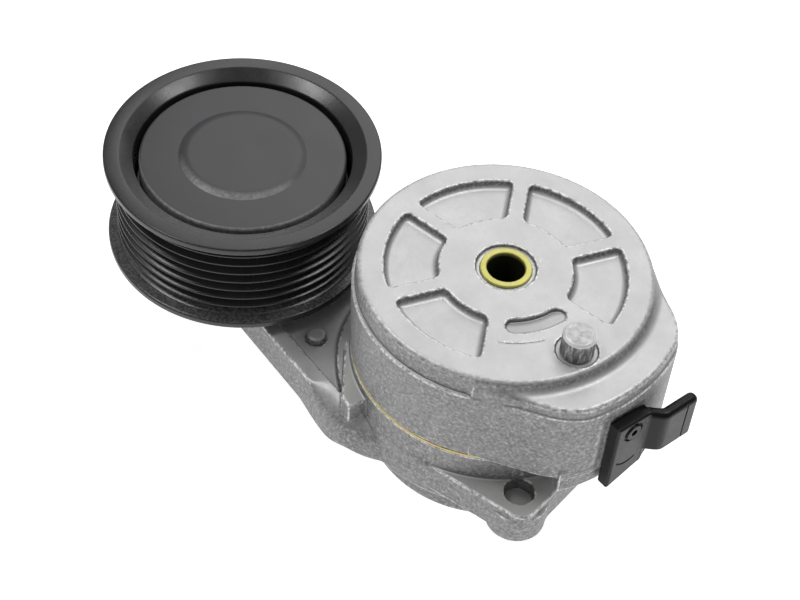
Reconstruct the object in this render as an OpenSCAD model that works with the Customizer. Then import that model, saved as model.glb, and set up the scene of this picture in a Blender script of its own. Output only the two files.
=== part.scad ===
// Automatic belt tensioner: a sprung arm that carries an eight-groove idler pulley.
// The origin is on the mounting bolt's axis, at the mounting face, and +Z points out of that face.
// The pivot axis is Z. At rest the pulley lies towards -X and the case's extension towards +X.

/* [Mounting] */
// Radius of the bolt bore through the pivot sleeve
bolt_bore_r = 5.5; // [5:0.25:5.75]
// Outer radius of the pivot sleeve
sleeve_r = 7.45; // [7.2:0.05:7.8]
// Length of the sleeve below the mounting face
sleeve_length = 73.2; // [73:0.1:74]
// Radius of the locating dowel
dowel_r = 4.75; // [4:0.25:5]
// Height of the dowel above the mounting face
dowel_height = 7; // [5:0.5:9]
// Distance of the dowel from the bolt axis
dowel_reach = 34.7; // [34:0.1:35]
// Angle of the dowel round the bolt axis, degrees
dowel_angle = -26.9; // [-28:0.1:-26]

/* [Spring case] */
// Radius of the raised mounting disc
disc_r = 42.2; // [42:0.1:42.3]
// Height of the raised disc over the extension
disc_step = 3.5; // [3:0.25:4]
// Depth of the parting ledge below the mounting face
ledge_depth = 7; // [6.5:0.25:7.5]
// Depth of the case from the mounting face to its open rim
case_depth = 32.9; // [32.5:0.1:33]
// Outer radius of the case at the parting ledge
ledge_r = 43.3; // [43:0.1:43.5]
// Outer radius of the case at its open rim
rim_r = 42.4; // [42.2:0.1:42.5]
// Inner radius of the case
cavity_r = 38.5; // [38.4:0.05:38.6]
// Thickness of the case's top
roof_thickness = 10; // [9.5:0.5:10]
// Outer radius of the extension beside the case
extension_r = 52.5; // [52.3:0.1:52.7]
// Depth of the shallow pockets in the mounting face
pocket_depth = 2.4; // [1.5:0.1:3]
// Inner radius of the pockets
pocket_r_in = 19.1; // [18:0.1:20]
// Outer radius of the pockets
pocket_r_out = 34.5; // [33.5:0.1:35]
// Width of the ribs between pockets
rib_width = 4.6; // [3.5:0.1:6]
// Depth that the stop lug hangs below the case's rim
lug_drop = 5.7; // [5.5:0.1:5.8]

/* [Arm] */
// Distance from the pivot axis to the pulley axis
arm_length = 90; // [89.5:0.25:91]
// Depth of the arm's top face below the mounting face
arm_top_depth = 42.5; // [42.3:0.1:42.8]
// Thickness of the arm
arm_thickness = 13.5; // [13:0.25:14]
// Thickness of the ear with the tool pocket
ear_thickness = 10.5; // [10:0.25:11]
// Outer radius of the cup that closes the case
cup_r = 41.6; // [41.3:0.1:41.8]
// Depth of the hub's lower face below the mounting face
hub_depth = 70; // [69.9:0.1:70.2]
// Outer radius of the hub's lower part
hub_r = 36; // [35.8:0.1:36.2]
// Size across flats of the tool pocket in the ear
tool_pocket_flats = 8.6; // [8:0.1:9]

/* [Pulley] */
// Outer radius of the pulley's flanges
flange_r = 41.5; // [41:0.1:42]
// Radius over the belt ribs
crest_r = 38.5; // [38.3:0.1:38.7]
// Number of belt grooves
groove_count = 8; // [8]
// Distance between grooves
groove_pitch = 3.56; // [3.56]
// Width of the pulley over its flanges
pulley_width = 33.8; // [33.6:0.1:34]
// Depth of the pulley's upper face below the mounting face
pulley_top_depth = 4.5; // [4.3:0.1:4.6]
// Radius of the dust cover
cover_r = 31; // [30.9:0.05:31.1]

/* [Bearing] */
// Bore radius of the ball bearing
bearing_bore_r = 8.5; // [8.5]
// Outer radius of the ball bearing
bearing_outer_r = 23.5; // [23.5]
// Width of the ball bearing
bearing_width = 14; // [14]
// Number of balls
ball_count = 7; // [6:1:7]
// Radius of one ball
ball_r = 4.2; // [4:0.05:4.2]

/* [Spring] */
// Radius of the spring wire
wire_r = 3.4; // [3:0.1:3.4]
// Mean radius of the spring's coils
coil_r = 27; // [26.8:0.1:27.2]
// Number of turns
coil_turns = 5.6; // [5:0.1:5.6]

/* [Side clip] */
// Angle of the clip's outward direction, degrees
clip_angle = -20; // [-21:0.5:-19]
// Distance from the pivot axis to the clip's back
clip_seat = 52; // [51.9:0.05:52.1]
// Thickness of the clip's plate
clip_thickness = 4.1; // [3.8:0.1:4.3]

/* [Hidden] */
$fn = 96;
cut = 1;
// How far a straight side starts inside the round that it leaves
tuck = 0.2;
pulley_at = [-arm_length, 0];

// Heights in the stack, all on the Z axis
case_rim_z = -case_depth;
ledge_z = -ledge_depth;
roof_z = -roof_thickness;
plate_top_z = case_rim_z - 0.2;
plate_thickness = 0.8;
cup_rim_z = plate_top_z - plate_thickness;
arm_top_z = -arm_top_depth;
arm_bottom_z = arm_top_z - arm_thickness;
hub_bottom_z = -hub_depth;
chamber_floor_z = hub_bottom_z + 6;
washer_recess_z = hub_bottom_z + 3.5;
retainer_top_z = hub_bottom_z + 1.9;
retainer_thickness = 2.5;
circlip_thickness = 1.4;

// Pivot
tube_r = 13.5;
circlip_seat_r = tube_r - 0.9;
bushing_r = 15.5;
hub_tube_r = 19.5;
pivot_gap = 0.05;
hub_tube_top_z = -35;
chamber_r = 32.5;
skirt_r = 36.3;
skirt_top_z = -16;
washer_recess_r = 24.5;

// Pressed-in end of the dowel
dowel_shank = 8;
dowel_shank_r = dowel_r - 0.75;

// Case outline
extension_from = -76;
extension_to = 49;
extension_corner_r = 4.5;
sixth_rib = -68;
rib_angles = [for (i = [0:5]) sixth_rib + 60 * i];
lug_from = -40;
lug_to = -12;
lug_r_in = 44.5;
lug_r_out = 51.8;

// Arm outline
web_r = 42.5;
arm_end_r = 15;
boss_r = 13;
knuckle_at = [-21.5, -17.6];
knuckle_r = 25;
side_normal = -112.5;
ear_at = [32.6, -39.7];
ear_r = 4.6;
tool_pocket_at = [29.9, -36.1];
tool_pocket_depth = 4.5;
foot_r = 8.7;
foot_height = 2.2;
beam_rib = 5;
stop_top_z = -36.7;
stop_near_angle = -119.5;
stop_tip_angle = -150.5;
rest_stop_gap = 0.4;
plug_at = [-49, -20.5];
plug_r = 3.1;

// Pulley section
pulley_top_z = -pulley_top_depth;
pulley_bottom_z = pulley_top_z - pulley_width;
pulley_mid_z = pulley_top_z - pulley_width / 2;
groove_depth = 3;
half_crest = 0.25;
half_root = groove_pitch / 2 - half_crest - groove_depth * tan(20);
rim_r_in = 32.7;
pulley_hub_r = 29.8;
bearing_top_z = pulley_mid_z + bearing_width / 2;
bearing_bottom_z = pulley_mid_z - bearing_width / 2;
ball_ring_r = (bearing_bore_r + bearing_outer_r) / 2;
race_groove_r = ball_r + 0.25;
inner_race_r = 13;
outer_race_r = 19;
cover_z = -6.7;
spacer_flange = 1;
bolt_r = 5;
washer_thickness = 1.5;

// Spring ends
coil_top_z = roof_z - 2 - wire_r - 0.1;
coil_bottom_z = chamber_floor_z + wire_r + 0.15;
coil_start = 60;
coil_end = coil_start - 360 * coil_turns;
coil_steps = 24;
wire_sides = 10;
abutment_arc = 14;
abutment_gap = 0.6;

// ---- Shared shapes ----

function polar(r, a) = [r * cos(a), r * sin(a)];
function arc(centre, r, from, to, steps) =
    [for (i = [0:steps]) centre + polar(r, from + (to - from) * i / steps)];
function ease(t) = t <= 0 ? 0 : t >= 1 ? 1 : t * t * (3 - 2 * t);

module between(z_top, z_bottom) {
    translate([0, 0, z_bottom])
        linear_extrude(z_top - z_bottom)
            children();
}

module drum(r, z_top, z_bottom) {
    translate([0, 0, z_bottom])
        cylinder(r = r, h = z_top - z_bottom);
}

module ring(r_out, r_in, z_top, z_bottom) {
    difference() {
        drum(r_out, z_top, z_bottom);
        drum(r_in, z_top + cut, z_bottom - cut);
    }
}

module ring_sector(r_out, r_in, from, to, z_top, z_bottom) {
    rotate([0, 0, from])
        rotate_extrude(angle = to - from)
            translate([r_in, z_bottom])
                square([r_out - r_in, z_top - z_bottom]);
}

// Two circles joined by straight sides that start just inside them
module tangent_bar(p, p_r, q, q_r) {
    run = q - p;
    heading = atan2(run[1], run[0]);
    lean = acos((p_r - q_r) / norm(run));
    translate(p)
        circle(p_r);
    translate(q)
        circle(q_r);
    polygon([p + polar(p_r - tuck, heading + lean), p + polar(p_r - tuck, heading - lean),
        q + polar(q_r - tuck, heading - lean), q + polar(q_r - tuck, heading + lean)]);
}

module at_pulley() {
    translate(pulley_at)
        children();
}

// ---- Fixed side: case, sleeve, dowel, clip and what holds the arm on ----

// A drum with a rounded upper edge
module domed_drum(r, edge, z_top, z_bottom) {
    rotate_extrude()
        polygon(concat([[0, z_bottom], [r, z_bottom]], arc([r - edge, z_top - edge], edge, 0, 90, 6),
            [[0, z_top]]));
}

// The extension seen from above: two near-tangent sides, an outer arc and two rounded corners
module extension_outline(grow) {
    reach = sqrt(pow(extension_r - extension_corner_r, 2) - pow(rim_r - extension_corner_r, 2));
    low = polar(rim_r - extension_corner_r, extension_from) + polar(reach, extension_from + 90);
    high = polar(rim_r - extension_corner_r, extension_to) + polar(reach, extension_to - 90);
    low_angle = atan2(low[1], low[0]);
    high_angle = atan2(high[1], high[0]);
    corner_r = extension_corner_r + grow;
    root_r = rim_r + grow - 0.4;
    polygon(concat([[0, 0], polar(root_r, extension_from)],
        arc(low, corner_r, extension_from, low_angle, 6),
        arc([0, 0], extension_r + grow, low_angle + 1, high_angle - 1, 24),
        arc(high, corner_r, high_angle, extension_to, 6),
        [polar(root_r, extension_to)]));
}

// Soft foot where the raised disc meets the extension
module disc_foot() {
    foot = 1.4;
    margin = 18;
    rotate([0, 0, extension_from + margin])
        rotate_extrude(angle = extension_to - extension_from - 2 * margin)
            polygon(concat([[disc_r - 1, -disc_step - 0.5], [disc_r + foot, -disc_step - 0.5]],
                arc([disc_r + foot, foot - disc_step], foot, 270, 180, 5),
                [[disc_r - 1, foot - disc_step]]));
}

// Five sector pockets between the six ribs; the sixth sector holds the slot and the dowel
module face_pockets() {
    difference() {
        ring(pocket_r_out, pocket_r_in, cut, -pocket_depth);
        for (angle = rib_angles)
            rotate([0, 0, angle])
                translate([0, -rib_width / 2, -pocket_depth - cut])
                    cube([pocket_r_out + cut, rib_width, pocket_depth + 3 * cut]);
        ring_sector(pocket_r_out + cut, pocket_r_in - cut, sixth_rib, sixth_rib + 60,
            2 * cut, -pocket_depth - cut);
    }
}

// Curved slot with a floor that rises outwards, and the faint step beyond it
module dowel_side_slot() {
    slot_r_out = 24.5;
    slot_from = -61;
    slot_to = -13.5;
    step_r = 28;
    rotate([0, 0, slot_from])
        rotate_extrude(angle = slot_to - slot_from)
            polygon([[pocket_r_in, cut], [pocket_r_in, -1.8], [slot_r_out, -0.35], [slot_r_out, cut]]);
    rotate([0, 0, slot_from - 3])
        rotate_extrude(angle = 26)
            polygon([[step_r, cut], [step_r, -0.35], [pocket_r_out, -0.02], [pocket_r_out, cut]]);
}

module clip_frame() {
    rotate([0, 0, clip_angle])
        children();
}

module spring_case() {
    color("lightgray")
        difference() {
            union() {
                domed_drum(disc_r, 1.5, 0, ledge_z);
                between(-disc_step, ledge_z)
                    extension_outline(-0.6);
                disc_foot();
                between(ledge_z, case_rim_z)
                    extension_outline(0);
                translate([0, 0, case_rim_z])
                    cylinder(r1 = rim_r, r2 = ledge_r, h = case_depth - ledge_depth);
                ring_sector(lug_r_out, lug_r_in, lug_from, lug_to, case_rim_z + cut, case_rim_z - lug_drop);
            }
            ring(cavity_r, tube_r, roof_z, case_rim_z - cut);
            ring_sector(extension_r - 3.3, cavity_r + 3.6, -8, 8, roof_z, case_rim_z - cut);
            face_pockets();
            dowel_side_slot();
            sleeve_seat();
            dowel_seat();
            clip_seat_cut();
        }
    color("lightgray")
        case_tube();
}

module sleeve_seat() {
    drum(sleeve_r, cut, -sleeve_length);
    translate([0, 0, -0.9])
        cylinder(r1 = 8.3, r2 = 8.7, h = 0.9 + 0.01);
}

module dowel_seat() {
    translate(polar(dowel_reach, dowel_angle)) {
        drum(dowel_shank_r, cut, -dowel_shank);
        drum(dowel_r + 1.25, cut, -0.5);
    }
}

// Flat seat and pin hole for the side clip
module clip_seat_cut() {
    clip_frame() {
        translate([clip_seat, -20, case_rim_z - lug_drop - cut])
            cube([10, 40, case_depth + lug_drop - 11]);
        clip_pin_axis()
            cylinder(r = 1.6, h = 10);
    }
}

// Inner tube that the arm turns on, with the circlip's groove, and the spring's abutment
module case_tube() {
    difference() {
        drum(tube_r, roof_z + 0.5, -sleeve_length);
        drum(sleeve_r, roof_z + cut, -sleeve_length - cut);
        ring(tube_r + cut, circlip_seat_r, retainer_top_z - retainer_thickness,
            retainer_top_z - retainer_thickness - circlip_thickness);
    }
    ring_sector(31, 23, coil_start + abutment_gap, coil_start + abutment_gap + abutment_arc,
        roof_z + 0.5, roof_z - 9);
}

module pivot_sleeve() {
    color("khaki")
        ring(sleeve_r, bolt_bore_r, 0, -sleeve_length);
}

module locating_dowel() {
    chamfer = 0.6;
    color("gray")
        translate(polar(dowel_reach, dowel_angle)) {
            drum(dowel_shank_r, cut, -dowel_shank);
            drum(dowel_r, dowel_height - chamfer, 0);
            translate([0, 0, dowel_height - chamfer])
                cylinder(r1 = dowel_r, r2 = dowel_r - chamfer, h = chamfer);
        }
}

// The pin's axis in the clip's own frame, pointing outwards from inside the case wall
module clip_pin_axis() {
    translate([clip_seat + clip_thickness - 10, 0.3, -16.6])
        rotate([0, 90, 0])
            children();
}

// The clip's tab: it steps outwards and runs on beside the case
module clip_tab_outline() {
    half = 1.85;
    middle = clip_seat + clip_thickness / 2;
    jog = 3.7;
    reach = 20;
    steps = 14;
    polygon(concat(
        [for (i = [0:steps]) let (t = 5 + (reach - 5) * i / steps)
            [middle + half + jog * ease((t - 5) / 6), t]],
        [for (i = [steps:-1:0]) let (t = 5 + (reach - 5) * i / steps)
            [middle - half + jog * ease((t - 6) / 6.5), t]]));
    translate([middle + jog, reach])
        circle(half);
}

module side_clip() {
    front = clip_seat + clip_thickness;
    color("black")
        clip_frame()
            difference() {
                union() {
                    translate([clip_seat, 0, 0])
                        rotate([90, 0, 90])
                            linear_extrude(clip_thickness)
                                polygon([[-5.6, -12.3], [6.8, -12.9], [6.8, -33.7], [-5.6, -38.2]]);
                    between(-13, -28.6)
                        clip_tab_outline();
                    translate([front - 2.4, 0, 0])
                        rotate([90, 0, 90])
                            linear_extrude(2.4)
                                polygon([[6, -33.9], [9, -28], [6, -28]]);
                }
                clip_pin_axis()
                    cylinder(r = 1.6, h = 10 + cut);
                translate([front + 3.45, 17, -28.6 - cut])
                    cube([cut, 0.8, 16 + 2 * cut]);
                translate([front - 0.35, 0.3, -24.5])
                    rotate([0, 90, 0])
                        rotate([0, 0, -40])
                            rotate_extrude(angle = 80)
                                translate([5.2, 0])
                                    square([0.6, cut]);
            }
}

module clip_pin() {
    head_r = 2.6;
    color("black")
        clip_frame()
            clip_pin_axis()
                difference() {
                    union() {
                        cylinder(r = 1.6, h = 10);
                        translate([0, 0, 10])
                            cylinder(r1 = head_r, r2 = head_r - 0.3, h = 0.5);
                    }
                    translate([0, 0, 8])
                        cylinder(r = 0.85, h = 3);
                }
}

module retaining_plate() {
    color("gray")
        ring(23.5, tube_r, retainer_top_z, retainer_top_z - retainer_thickness);
}

module tube_circlip() {
    half_gap = 12;
    color("dimgray")
        ring_sector(16.5, circlip_seat_r, half_gap, 360 - half_gap, retainer_top_z - retainer_thickness,
            retainer_top_z - retainer_thickness - circlip_thickness);
}

module spring_seat() {
    seat_from = coil_start + abutment_arc + 3;
    color("black") {
        ring_sector(32, 21.5, seat_from, seat_from + 360 - abutment_arc - 8, roof_z, roof_z - 2);
        ring_sector(23.3, 21.5, seat_from, seat_from + 360 - abutment_arc - 8, roof_z - 2, roof_z - 8);
    }
}

// ---- Spring: a round wire swept down a helix ----

function wire_centre(t) = [each polar(coil_r, coil_start + (coil_end - coil_start) * t),
    coil_top_z + (coil_bottom_z - coil_top_z) * t];
function wire_ring(t) = let (angle = coil_start + (coil_end - coil_start) * t)
    [for (i = [0:wire_sides - 1]) let (turn = 360 * i / wire_sides)
        wire_centre(t) + [each polar(wire_r * cos(turn), angle), wire_r * sin(turn)]];

module torsion_spring() {
    rings = ceil(coil_turns * coil_steps);
    points = [for (k = [0:rings]) each wire_ring(k / rings)];
    sides = [for (k = [0:rings - 1], i = [0:wire_sides - 1]) let (j = (i + 1) % wire_sides)
        [k * wire_sides + i, k * wire_sides + j, (k + 1) * wire_sides + j, (k + 1) * wire_sides + i]];
    start_cap = [for (i = [wire_sides - 1:-1:0]) i];
    end_cap = [for (i = [0:wire_sides - 1]) rings * wire_sides + i];
    color("slategray")
        polyhedron(points, concat(sides, [start_cap], [end_cap]));
}

// ---- Arm side ----

function tangent_lean() = acos((web_r - arm_end_r) / arm_length);
function beam_side(inset) = [
    pulley_at + polar(arm_end_r - tuck - inset, side_normal),
    knuckle_at + polar(knuckle_r - tuck - inset, side_normal),
    [0, 0],
    polar(web_r - tuck - inset, 180 - tangent_lean()),
    pulley_at + polar(arm_end_r - tuck - inset, 180 - tangent_lean())];

module beam_outline() {
    circle(web_r);
    translate(knuckle_at)
        circle(knuckle_r);
    translate(pulley_at)
        circle(arm_end_r);
    polygon(beam_side(0));
}

// The hollow between the beam's side ribs, the hub and the pulley boss
module beam_hollow(hub_wall, boss_wall) {
    difference() {
        polygon(beam_side(beam_rib));
        circle(web_r + hub_wall);
        translate(pulley_at)
            circle(boss_r + boss_wall);
    }
}

// Wedge that meets the case's lug when the arm is pushed all the way over
module load_stop() {
    between(stop_top_z, arm_top_z - cut)
        polygon([polar(40, stop_near_angle), polar(48.2, stop_near_angle), polar(48.4, -125),
            polar(43.9, stop_tip_angle), polar(40, stop_tip_angle)]);
}

module arm_shell() {
    edge = 2;
    between(arm_top_z, arm_bottom_z)
        beam_outline();
    between(arm_top_z, arm_top_z - ear_thickness)
        tangent_bar([0, 0], web_r, ear_at, ear_r);
    translate(tool_pocket_at)
        drum(foot_r, arm_top_z - 2, arm_top_z - ear_thickness - foot_height);
    drum(cup_r, cup_rim_z, arm_top_z - cut);
    drum(skirt_r, skirt_top_z, cup_rim_z - cut);
    rotate_extrude()
        polygon(concat([[0, arm_bottom_z + cut], [0, hub_bottom_z]],
            arc([hub_r - edge, hub_bottom_z + edge], edge, 270, 360, 5), [[hub_r, arm_bottom_z + cut]]));
    load_stop();
    ring_sector(48, cup_r - cut, lug_to + rest_stop_gap, lug_to + 20, stop_top_z, arm_top_z - 4);
    at_pulley() {
        drum(boss_r, bearing_bottom_z - spacer_flange, arm_top_z - cut);
        translate([0, 0, arm_top_z - 0.5])
            cylinder(r1 = boss_r + 2.5, r2 = boss_r, h = 3);
    }
}

// Ring of weight-saving pockets under the arm, between the cup wall and the hub
module hub_pockets() {
    count = 9;
    for (i = [0:count - 1])
        ring_sector(39.4, hub_r + 0.6, 360 * i / count + 3, 360 * (i + 1) / count - 3,
            arm_bottom_z + 12, arm_bottom_z - cut);
}

module arm_cuts() {
    drum(chamber_r, skirt_top_z + cut, chamber_floor_z);
    drum(bushing_r, chamber_floor_z + cut, hub_bottom_z - cut);
    drum(washer_recess_r, washer_recess_z, hub_bottom_z - cut);
    hub_pockets();
    between(arm_top_z + cut, arm_top_z - 1.5)
        beam_hollow(3.5, 6);
    between(arm_bottom_z + 8.5, arm_bottom_z - cut)
        beam_hollow(2.5, 3);
    translate([each tool_pocket_at, arm_top_z - tool_pocket_depth])
        cylinder(r = tool_pocket_flats / 2 / cos(30), h = tool_pocket_depth + cut, $fn = 6);
    translate(plug_at)
        drum(plug_r, arm_top_z + cut, arm_top_z - 5);
    at_pulley()
        drum(bolt_r + 0.05, 0, arm_bottom_z - cut);
}

module tensioner_arm() {
    color("silver") {
        difference() {
            arm_shell();
            arm_cuts();
        }
        ring(hub_tube_r, bushing_r, hub_tube_top_z, washer_recess_z);
        spring_abutment();
    }
}

module spring_abutment() {
    ring_sector(31, 23, coil_end - abutment_gap - abutment_arc, coil_end - abutment_gap,
        chamber_floor_z + 7, chamber_floor_z - 0.5);
}

module pivot_bushing() {
    color("saddlebrown")
        ring(bushing_r, tube_r + pivot_gap, hub_tube_top_z, washer_recess_z);
}

module damper_band() {
    color("black")
        ring_sector(cavity_r - 0.1, skirt_r + pivot_gap, 5, 355, skirt_top_z - 1, case_rim_z + 1.5);
}

module thrust_plate() {
    color("goldenrod")
        ring(rim_r, skirt_r + pivot_gap, plate_top_z, cup_rim_z);
}

module thrust_washer() {
    color("black")
        ring(22, tube_r + 0.3, washer_recess_z, retainer_top_z + 0.1);
}

module web_plug() {
    color("silver")
        translate(plug_at) {
            drum(plug_r, arm_top_z - 0.4, arm_top_z - 5);
            translate([0, 0, arm_top_z - 0.4])
                cylinder(r1 = plug_r, r2 = plug_r - 0.8, h = 1);
        }
}

module pulley_bolt() {
    head_height = 4.9;
    head_z = bearing_top_z + washer_thickness;
    color("darkgray")
        at_pulley() {
            drum(bolt_r, head_z + 0.5, arm_bottom_z + 1.5);
            intersection() {
                translate([0, 0, head_z])
                    cylinder(r = 17 / 2 / cos(30), h = head_height, $fn = 6);
                translate([0, 0, head_z - 12])
                    cylinder(r1 = 26, r2 = 8, h = head_height + 12);
            }
        }
}

module bolt_washer() {
    color("silver")
        at_pulley()
            ring(12, bolt_r + 0.05, bearing_top_z + washer_thickness, bearing_top_z);
}

module bearing_spacer() {
    color("gray")
        at_pulley() {
            ring(bearing_bore_r, bolt_r + 0.05, bearing_top_z, bearing_bottom_z);
            ring(11, bolt_r + 0.05, bearing_bottom_z, bearing_bottom_z - spacer_flange);
        }
}

// ---- Ball bearing ----

module raceway() {
    translate([0, 0, pulley_mid_z])
        rotate_extrude()
            translate([ball_ring_r, 0])
                circle(race_groove_r);
}

module bearing_inner_race() {
    color("lightsteelblue")
        at_pulley()
            difference() {
                ring(inner_race_r, bearing_bore_r, bearing_top_z, bearing_bottom_z);
                raceway();
            }
}

module bearing_outer_race() {
    color("lightsteelblue")
        at_pulley()
            difference() {
                ring(bearing_outer_r, outer_race_r, bearing_top_z, bearing_bottom_z);
                raceway();
            }
}

module bearing_seals() {
    color("darkred")
        at_pulley()
            for (z = [bearing_top_z - 0.2, bearing_bottom_z + 1.2])
                ring(outer_race_r, inner_race_r + 0.4, z, z - 1);
}

module ball_places() {
    at_pulley()
        for (i = [0:ball_count - 1])
            rotate([0, 0, 360 * i / ball_count])
                translate([ball_ring_r, 0, pulley_mid_z])
                    children();
}

module bearing_balls() {
    color("silver")
        ball_places()
            sphere(ball_r);
}

module ball_cage() {
    half_height = 5.3;
    half_wall = 0.9;
    color("goldenrod")
        difference() {
            at_pulley()
                ring(ball_ring_r + half_wall, ball_ring_r - half_wall,
                    pulley_mid_z + half_height, pulley_mid_z - half_height);
            ball_places()
                rotate([0, 90, 0])
                    cylinder(r = ball_r + 0.15, h = 4, center = true);
        }
}

module bearing_circlip() {
    color("dimgray")
        at_pulley()
            ring_sector(24.6, 21, 15, 345, bearing_top_z + 1.3, bearing_top_z + 0.05);
}

// ---- Pulley ----

function groove(k) = let (z = pulley_mid_z + groove_pitch * (groove_count / 2 - 0.5 - k))
    [[crest_r, z + groove_pitch / 2 - half_crest], [crest_r - groove_depth, z + half_root],
        [crest_r - groove_depth, z - half_root], [crest_r, z - groove_pitch / 2 + half_crest]];

module rim_section() {
    edge = 0.5;
    land_r = 36.9;
    dish_z = pulley_top_z - 2.3;
    belt_half = groove_pitch * groove_count / 2;
    polygon(concat(
        [[rim_r_in, pulley_bottom_z + 1], [rim_r_in, dish_z], [land_r, pulley_top_z],
            [flange_r - edge, pulley_top_z],
            [flange_r, pulley_top_z - edge], [flange_r, pulley_top_z - 2.3],
            [crest_r, pulley_mid_z + belt_half]],
        [for (k = [0:groove_count - 1]) each groove(k)],
        [[crest_r, pulley_mid_z - belt_half], [flange_r, pulley_bottom_z + 2.3],
            [flange_r, pulley_bottom_z + edge], [flange_r - edge, pulley_bottom_z],
            [rim_r_in + 1, pulley_bottom_z]]));
}

// The web and the hub ring that holds the bearing
module hub_section(hub_top_z, lip_z) {
    lip_r = 21.5;
    web_top_z = pulley_mid_z + 2.5;
    web_bottom_z = pulley_mid_z - 3.5;
    polygon([[lip_r, lip_z], [pulley_hub_r, lip_z], [pulley_hub_r, web_bottom_z],
        [rim_r_in + 0.8, web_bottom_z], [rim_r_in + 0.8, web_top_z], [pulley_hub_r, web_top_z],
        [pulley_hub_r, hub_top_z], [lip_r, hub_top_z]]);
}

module pulley() {
    hub_top_z = bearing_top_z + 2.2;
    lip_z = bearing_bottom_z - 1.8;
    circlip_groove_r = 24.6;
    color("dimgray")
        at_pulley()
            difference() {
                union() {
                    rotate_extrude()
                        rim_section();
                    rotate_extrude()
                        hub_section(hub_top_z, lip_z);
                }
                drum(bearing_outer_r, hub_top_z + cut, bearing_bottom_z);
                drum(circlip_groove_r, bearing_top_z + 1.3, bearing_top_z);
            }
}

module dust_cover() {
    skin = 1;
    edge = 0.8;
    skirt_z = -15;
    centre_r = 18.5;
    rise = 0.9;
    color("black")
        at_pulley()
            rotate_extrude()
                polygon(concat([[0, cover_z + rise - skin], [centre_r - skin, cover_z + rise - skin],
                    [centre_r, cover_z - skin], [pulley_hub_r, cover_z - skin], [pulley_hub_r, skirt_z],
                    [cover_r, skirt_z]],
                    arc([cover_r - edge, cover_z - edge], edge, 0, 90, 5),
                    [[centre_r + 0.9, cover_z]],
                    arc([centre_r - edge, cover_z + rise - edge], edge, 20, 90, 4),
                    [[0, cover_z + rise]]));
}

spring_case();
pivot_sleeve();
locating_dowel();
side_clip();
clip_pin();
torsion_spring();
spring_seat();
retaining_plate();
tube_circlip();
tensioner_arm();
pivot_bushing();
damper_band();
thrust_plate();
thrust_washer();
web_plug();
pulley_bolt();
bolt_washer();
bearing_spacer();
bearing_inner_race();
bearing_outer_race();
bearing_seals();
bearing_balls();
ball_cage();
bearing_circlip();
pulley();
dust_cover();
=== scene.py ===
"""Looks of a belt tensioner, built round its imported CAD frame.

Cast pieces are modelled as distance fields with rounded unions and cuts, then meshed; turned pieces
are lathed from rounded profiles. Field and profile sizes are in millimetres, in the frame's axes.
The last number in a round_or, round_and or round_cut call, and the third number of a profile's corner,
is the radius of that edge or fillet. Names that end in _R are radii, in _Z heights, and in _SPAN or
_WALLS angles in degrees.
"""

import math

import bmesh
import bpy
import numpy as np
from mathutils import Matrix, Vector


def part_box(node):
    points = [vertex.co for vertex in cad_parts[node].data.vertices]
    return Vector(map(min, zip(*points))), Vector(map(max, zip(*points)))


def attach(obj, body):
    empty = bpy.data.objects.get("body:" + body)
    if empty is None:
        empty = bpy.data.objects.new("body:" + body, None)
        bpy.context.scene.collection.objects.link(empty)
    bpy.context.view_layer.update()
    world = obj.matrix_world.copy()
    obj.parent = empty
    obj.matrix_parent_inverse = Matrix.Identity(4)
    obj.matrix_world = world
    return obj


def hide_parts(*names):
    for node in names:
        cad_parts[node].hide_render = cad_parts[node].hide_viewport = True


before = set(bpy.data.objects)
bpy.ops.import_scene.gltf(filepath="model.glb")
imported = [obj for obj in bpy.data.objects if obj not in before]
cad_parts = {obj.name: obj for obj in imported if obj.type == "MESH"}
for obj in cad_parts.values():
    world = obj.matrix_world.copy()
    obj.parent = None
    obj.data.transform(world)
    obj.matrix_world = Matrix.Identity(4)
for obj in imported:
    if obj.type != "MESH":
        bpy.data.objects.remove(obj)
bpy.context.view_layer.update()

MM = 0.001
STL_LIMIT = 190_000


def node_box(node):
    """A CAD node's lowest and highest corner, in millimetres."""
    low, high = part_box(node)
    return np.array(low) / MM, np.array(high) / MM


# ---- Key sizes, read from the CAD frame or shared by several pieces ----

SLEEVE_LOW, SLEEVE_HIGH = node_box("pivot_sleeve")
DOWEL_LOW, DOWEL_HIGH = node_box("locating_dowel")
PULLEY_LOW, PULLEY_HIGH = node_box("pulley")
COVER_LOW, COVER_HIGH = node_box("dust_cover")
PULLEY_XY = tuple((PULLEY_LOW + PULLEY_HIGH)[:2] / 2)
DOWEL_XY = tuple((DOWEL_LOW + DOWEL_HIGH)[:2] / 2)
DOWEL_R = (DOWEL_HIGH - DOWEL_LOW)[0] / 2
SLEEVE_R = (SLEEVE_HIGH - SLEEVE_LOW)[0] / 2
TUBE_END_Z = node_box("spring_case")[0][2]
HUB_BOTTOM_Z = node_box("tensioner_arm")[0][2]
CASE_RIM_Z = -32.9
LEDGE_Z = -7.0
ARM_TOP_Z = -42.5
ARM_BOTTOM_Z = -56.0
TUBE_R = 13.5
CIRCLIP_BORE_R = 12.6
BOLT_BORE_R = 5.05
PLUG_R = 3.1
CLIP_ANGLE = -20
PIN_SIDE = 0.3
PIN_Z = -16.6
PIN_R = 1.6


# ---- Distance fields ----


def polar(radius, angle):
    turn = math.radians(angle)
    return np.array([radius * math.cos(turn), radius * math.sin(turn)])


def round_or(a, b, radius):
    """Union with a concave fillet."""
    u = np.maximum(radius - a, 0)
    v = np.maximum(radius - b, 0)
    return np.maximum(radius, np.minimum(a, b)) - np.hypot(u, v)


def round_and(a, b, radius):
    """Intersection with a rounded convex edge."""
    u = np.maximum(radius + a, 0)
    v = np.maximum(radius + b, 0)
    return np.minimum(-radius, np.maximum(a, b)) + np.hypot(u, v)


def round_cut(a, b, radius):
    return round_and(a, -b, radius)


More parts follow.
